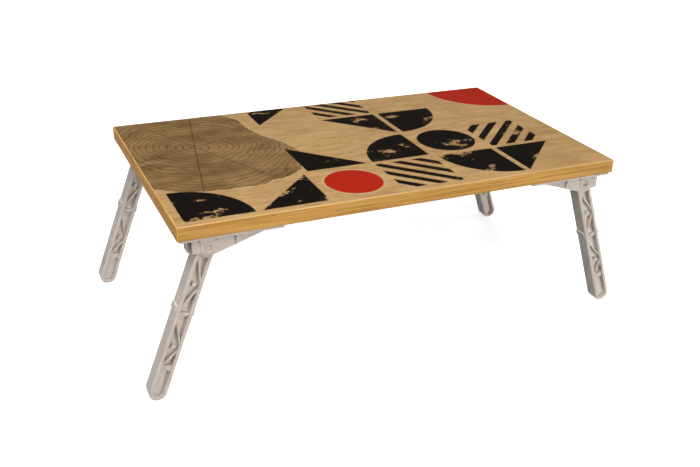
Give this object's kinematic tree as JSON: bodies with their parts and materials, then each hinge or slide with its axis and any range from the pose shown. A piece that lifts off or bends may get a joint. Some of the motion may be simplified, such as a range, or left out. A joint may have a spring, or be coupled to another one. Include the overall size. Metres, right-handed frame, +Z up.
{
  "type": "folding tray table",
  "caption": "Low folding tray table: a printed board with wood-look edges on moulded ribbed legs that lean outward when open and fold flat under the board.",
  "frame": {"origin": "on the floor, under the middle of the board", "axes": "+X along the board, +Y to the back, +Z up"},
  "size_m": [0.6826, 0.35, 0.23],
  "materials": {
    "chipboard": "raw chipboard",
    "printed_laminate": "printed melamine laminate, satin",
    "backing_laminate": "plain backing laminate, matt",
    "edge_band": "honey oak wood-grain edge band",
    "bracket_plastic": "moulded warm light grey plastic",
    "leg_plastic": "moulded warm light grey plastic",
    "rivet_metal": "zinc plated steel",
    "screw_steel": "zinc plated steel"
  },
  "bodies": {
    "tabletop": {"core_board": "chipboard", "top_decor_sheet": "printed_laminate", "backing_sheet": "backing_laminate", "edge_band_front": "edge_band", "edge_band_back": "edge_band", "edge_band_left": "edge_band", "edge_band_right": "edge_band", "bracket_front_left": "bracket_plastic", "pivot_rivet_front_left": "rivet_metal", "bracket_screws_front_left": "screw_steel", "bracket_front_right": "bracket_plastic", "pivot_rivet_front_right": "rivet_metal", "bracket_screws_front_right": "screw_steel", "bracket_back_left": "bracket_plastic", "pivot_rivet_back_left": "rivet_metal", "bracket_screws_back_left": "screw_steel", "bracket_back_right": "bracket_plastic", "pivot_rivet_back_right": "rivet_metal", "bracket_screws_back_right": "screw_steel"},
    "front_left_leg": {"leg_front_left": "leg_plastic"},
    "front_right_leg": {"leg_front_right": "leg_plastic"},
    "back_left_leg": {"leg_back_left": "leg_plastic"},
    "back_right_leg": {"leg_back_right": "leg_plastic"}
  },
  "joints": [
    {"name": "front_left_leg_fold", "type": "hinge", "parent": "tabletop", "child": "front_left_leg", "pos_m": [-0.263, -0.154, 0.196], "axis": [0, -1, 0], "range_deg": [0, 110]},
    {"name": "front_right_leg_fold", "type": "hinge", "parent": "tabletop", "child": "front_right_leg", "pos_m": [0.263, -0.154, 0.196], "axis": [0, 1, 0], "range_deg": [0, 110]},
    {"name": "back_left_leg_fold", "type": "hinge", "parent": "tabletop", "child": "back_left_leg", "pos_m": [-0.263, 0.154, 0.196], "axis": [0, -1, 0], "range_deg": [0, 110]},
    {"name": "back_right_leg_fold", "type": "hinge", "parent": "tabletop", "child": "back_right_leg", "pos_m": [0.263, 0.154, 0.196], "axis": [0, 1, 0], "range_deg": [0, 110]}
  ]
}
